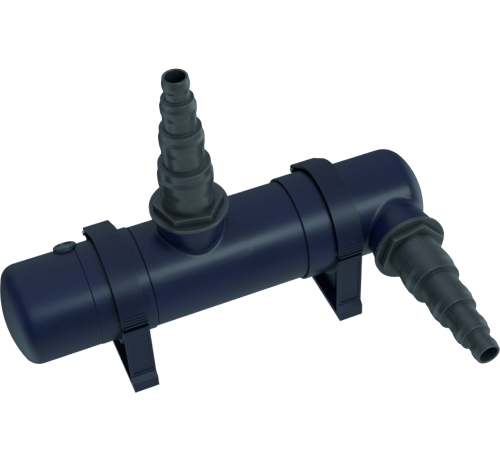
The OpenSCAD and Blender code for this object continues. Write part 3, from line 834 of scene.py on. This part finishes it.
def moulded(name, color, dust_and_highlight, rough, grain, specular, mottle=0.25, flow=0.00012):
    """Moulded plastic: fine spark-eroded grain, faint flow marks and dust specks; painted shade in corners,
    recesses and deep bores; outer edges paler, partly wear and partly a painted highlight.
    """
    n = Nodes(name)
    fine = n.noise(1500.0, 3.0, 0.6)
    broad = n.noise(28.0, 3.0, 0.55, stretch=(0.35, 1.0, 1.0))
    dust = n.noise(420.0, 2.0, 0.5)
    darker = tuple(c * (1 - mottle) for c in color) + (1,)
    lighter = tuple(c * (1 + mottle) for c in color) + (1,)
    base = n.blend(n.remap(broad, 0.35, 0.65, 0.0, 1.0), darker, lighter)
    base = n.blend(n.remap(dust, 0.62, 0.78, 0.0, 0.14), base, (*dust_and_highlight, 1))
    # painted shade: the colour falls to an eighth of itself in corners, creases and between parts
    open_air = n.hollows(0.006)
    base = n.blend(n.remap(open_air, 0.4, 0.95, 0.9, 0.0), base, tuple(c * 0.12 for c in color) + (1,))
    # painted shade: deep bores and recesses drawn almost black
    inside = n.remap(n.hollows(0.03), 0.12, 0.45, 0.95, 0.0)
    base = n.blend(inside, base, tuple(c * 0.06 for c in color) + (1,))
    # painted highlight, partly wear: outer convex edges drawn paler
    outer_edge = n.product(n.edges(0.0006), n.remap(open_air, 0.75, 0.95, 0.0, 1.0))
    base = n.blend(n.remap(outer_edge, 0.0, 1.0, 0.0, 0.75), base, (*dust_and_highlight, 1))
    uneven = n.remap(broad, 0.3, 0.7, rough - 0.2 * mottle, rough + 0.24 * mottle)
    n.bump((broad, flow), (fine, grain))
    return n.set(Base_Color=base, Roughness=uneven, Specular_IOR_Level=specular)


def metal(name, color, rough):
    n = Nodes(name)
    brushed = n.noise(900.0, 3.0, 0.6, stretch=(1.0, 1.0, 0.05))
    marks = n.noise(120.0, 4.0, 0.6)
    base = n.blend(n.remap(marks, 0.4, 0.7, 0.0, 1.0), (*color, 1), (*(c * 0.75 for c in color), 1))
    n.bump((brushed, 0.00001))
    uneven = n.remap(marks, 0.3, 0.7, rough - 0.08, rough + 0.12)
    return n.set(Base_Color=base, Metallic=1.0, Roughness=uneven)


def rubber_material():
    n = Nodes("rubber")
    fine = n.noise(900.0, 3.0, 0.6)
    bloom = n.noise(60.0, 3.0, 0.6)
    base = n.blend(n.remap(bloom, 0.4, 0.75, 0.0, 1.0), (0.012, 0.012, 0.013, 1), (0.03, 0.03, 0.032, 1))
    n.bump((fine, 0.00003))
    return n.set(Base_Color=base, Roughness=n.remap(bloom, 0.3, 0.7, 0.62, 0.8), Specular_IOR_Level=0.3)


def glass_material(name, color, rough=0.02):
    n = Nodes(name)
    film = n.noise(70.0, 3.0, 0.55)
    base = n.blend(n.remap(film, 0.4, 0.8, 0.0, 0.3), (*color, 1), (*(c * 0.8 for c in color), 1))
    return n.set(
        Base_Color=base,
        Roughness=n.remap(film, 0.35, 0.75, rough, rough + 0.06),
        Transmission_Weight=0.95,
        IOR=1.46,
    )


def sight_material():
    """An opaque dark lens: its colour is painted shade standing for the unlit inside of the lamp head seen
    through clear glass.
    """
    n = Nodes("sight_lens_painted_shade")
    film = n.noise(160.0, 3.0, 0.55)
    # painted shade: the shaded inside of the lamp head, drawn on the lens
    base = n.blend(n.remap(film, 0.4, 0.8, 0.0, 1.0), (0.004, 0.007, 0.008, 1), (0.012, 0.016, 0.018, 1))
    smeared = n.remap(film, 0.35, 0.75, 0.03, 0.12)
    return n.set(Base_Color=base, Roughness=smeared, Specular_IOR_Level=0.55, Coat_Weight=0.4)


housing = moulded("housing_navy", HOUSING, HOUSING_DUST_AND_HIGHLIGHT, rough=0.31, grain=0.00004, specular=0.5)
inner = moulded("inner_navy", HOUSING, HOUSING_DUST_AND_HIGHLIGHT, rough=0.5, grain=0.00003, specular=0.3)
clamp = moulded("clamp_blue_grey", CLAMP, CLAMP_DUST_AND_HIGHLIGHT, rough=0.36, grain=0.00004, specular=0.45)
tail = moulded("tail_green_grey", TAIL, TAIL_DUST_AND_HIGHLIGHT, 0.25, 0.00002, 0.75, mottle=0.12, flow=0.00001)
bezel = moulded("sight_bezel_grey", BEZEL, BEZEL_DUST_AND_HIGHLIGHT, rough=0.18, grain=0.00001, specular=0.6)
white = moulded("white_plastic", WHITE, WHITE_DUST_AND_HIGHLIGHT, 0.42, 0.00002, 0.45, mottle=0.05)
black = moulded("black_plastic", BLACK, BLACK_DUST_AND_HIGHLIGHT, rough=0.45, grain=0.00004, specular=0.4)
rubber = rubber_material()
steel = metal("stainless_steel", (0.55, 0.55, 0.57), 0.3)
quartz = glass_material("quartz_clear", (0.93, 0.97, 0.98))
lamp_glass = glass_material("lamp_glass_clear", (0.95, 0.98, 0.97))

make_main_tube(housing)
make_outlet_cap(housing)
make_head_collar(housing)
make_lamp_head(housing)
make_hose_tail("inlet_tail", along_inlet, INLET_HEX_TURN, "inlet_tail_body", tail)
make_hose_tail("outlet_tail", along_outlet, OUTLET_HEX_TURN, "outlet_tail_body", tail)
make_sight_ring(bezel)
make_sight_lens(sight_material())

for side in ("left", "right"):
    soften(side + "_strap", 0.35, clamp)
    soften(side + "_bracket", 0.45, clamp)
    soften(side + "_pin", 0.3, steel)
for node in ("bulkhead", "sleeve_nut", "sleeve_support"):
    soften(node, 0.3, inner)
for node in ("partition", "lamp_holder", "lamp_base", "terminal_block", "interlock_plunger"):
    soften(node, 0.3, white)
for node in ("gland_body", "gland_nut", "ballast", "interlock_switch"):
    soften(node, 0.3, black)
for node in ("outlet_seal", "sleeve_seal", "head_seal", "inlet_gasket", "outlet_gasket", "gland_seal"):
    soften(node, 0.15, rubber)
soften("lamp_pins", 0.15, steel)
paint("quartz_sleeve", quartz)
paint("lamp_tubes", lamp_glass)


# ---- camera, light and ground ----

CENTRE = (0.0, 0.0, 0.07)
camera_data = bpy.data.cameras.new("camera")
camera_data.lens = 83.2755  # the long lens sees the tube from the front left, above it
camera_data.sensor_width = 36
camera_data.shift_x = 0.00396
camera_data.shift_y = 0.006
camera = bpy.data.objects.new("camera", camera_data)
bpy.context.scene.collection.objects.link(camera)
right = Vector((0.922684, -0.383119, -0.043295))
up = Vector((0.297657, 0.636449, 0.711571))
back = Vector((-0.245061, -0.669442, 0.701279))
turn = Matrix((right, up, back)).transposed().to_4x4()
camera.matrix_world = Matrix.Translation(Vector((-0.18997, -0.5732, 0.67737))) @ turn
bpy.context.scene.camera = camera


def soft_light(name, place, aim, size, power, color):
    data = bpy.data.lights.new(name, "AREA")
    data.shape = "RECTANGLE"
    data.size, data.size_y = size
    data.energy = power
    data.color = color
    light = bpy.data.objects.new(name, data)
    bpy.context.scene.collection.objects.link(light)
    direction = Vector(aim) - Vector(place)
    light.location = place
    light.rotation_euler = direction.to_track_quat("-Z", "Y").to_euler()
    light.visible_camera = False
    return light


def from_direction(azimuth, elevation, distance=1.55):
    """A place at that distance from the object's middle, in degrees from +X and up from the floor."""
    a, e = math.radians(azimuth), math.radians(elevation)
    return (
        distance * math.cos(e) * math.cos(a),
        distance * math.cos(e) * math.sin(a),
        CENTRE[2] + distance * math.sin(e),
    )


def make_floor():
    """A pale sheet under the object, evenly lit like a light table."""
    form = Form()
    half, cells = 40000.0, 8
    grid = [
        [form.add((half * (2 * i / cells - 1), half * (2 * j / cells - 1), -0.15)) for j in range(cells + 1)]
        for i in range(cells + 1)
    ]
    for i in range(cells):
        for j in range(cells):
            form.faces.append((grid[i][j], grid[i + 1][j], grid[i + 1][j + 1], grid[i][j + 1]))
    mesh = bpy.data.meshes.new("floor")
    mesh.from_pydata([p * MM for p in form.points], [], form.faces)
    floor = bpy.data.objects.new("floor", mesh)
    bpy.context.scene.collection.objects.link(floor)
    n = Nodes("floor_paper")
    fibre = n.noise(60.0, 2.0, 0.5)
    shade = n.blend(n.remap(fibre, 0.3, 0.7, 0.0, 1.0), (0.5, 0.5, 0.5, 1), (0.52, 0.52, 0.52, 1))
    n.set(Base_Color=shade, Roughness=0.9, Emission_Color=(1, 1, 1, 1), Emission_Strength=1.0)
    mesh.materials.append(n.material)
    floor.visible_diffuse = False
    floor.visible_glossy = False
    floor.visible_shadow = False


# soft lobes of the surroundings: the direction each shines from, and its colour
SURROUNDINGS = [
    ((0, -1, -1), (0.30, 0.38, 0.43)),
    ((-1, 0, -1), (0.62, 0.93, 1.00)),
    ((1, 0, -1), (0.50, 0.72, 0.78)),
    ((1, 0, 0), (0.80, 1.10, 1.22)),
    ((-1, 0, 0), (0.34, 0.40, 0.52)),
    ((1, -1, 0), (0.30, 0.32, 0.32)),
    ((0, 1, 1), (0.35, 0.43, 0.56)),
    ((0, 1, 0), (0.15, 0.23, 0.25)),
    ((0, -1, 1), (0.23, 0.36, 0.46)),
    ((0, 0, 1), (0.38, 0.41, 0.50)),
]
LOBE_SHARPNESS = 6.0


def make_world():
    """Dark studio surroundings with soft bright patches, the brightest low, as from a pale floor."""
    world = bpy.data.worlds.new("studio")
    world.use_nodes = True
    tree = world.node_tree

    def add(kind, *values, **settings):
        node = tree.nodes.new(kind)
        for key, value in settings.items():
            setattr(node, key, value)
        for socket, value in zip(node.inputs, values):
            if isinstance(value, bpy.types.NodeSocket):
                tree.links.new(value, socket)
            else:
                socket.default_value = value
        return node

    sky = add("ShaderNodeTexCoord").outputs["Generated"]
    total = None
    for direction, color in SURROUNDINGS:
        aim = Vector(direction).normalized()
        facing = add("ShaderNodeVectorMath", sky, aim, operation="DOT_PRODUCT").outputs["Value"]
        front = add("ShaderNodeMath", facing, 0.0, operation="MAXIMUM").outputs[0]
        lobe = add("ShaderNodeMath", front, LOBE_SHARPNESS, operation="POWER").outputs[0]
        tint = add("ShaderNodeVectorMath", color, operation="SCALE")
        tree.links.new(lobe, tint.inputs["Scale"])
        if total is None:
            total = tint.outputs[0]
        else:
            total = add("ShaderNodeVectorMath", total, tint.outputs[0], operation="ADD").outputs[0]
    tree.links.new(total, tree.nodes["Background"].inputs["Color"])
    bpy.context.scene.world = world


make_floor()
make_world()
band_place = from_direction(-66, 40)
soft_light("band", band_place, CENTRE, size=(1.0, 0.44), power=6.0, color=(0.66, 0.96, 1.06))
bpy.context.scene.view_settings.view_transform = "Standard"
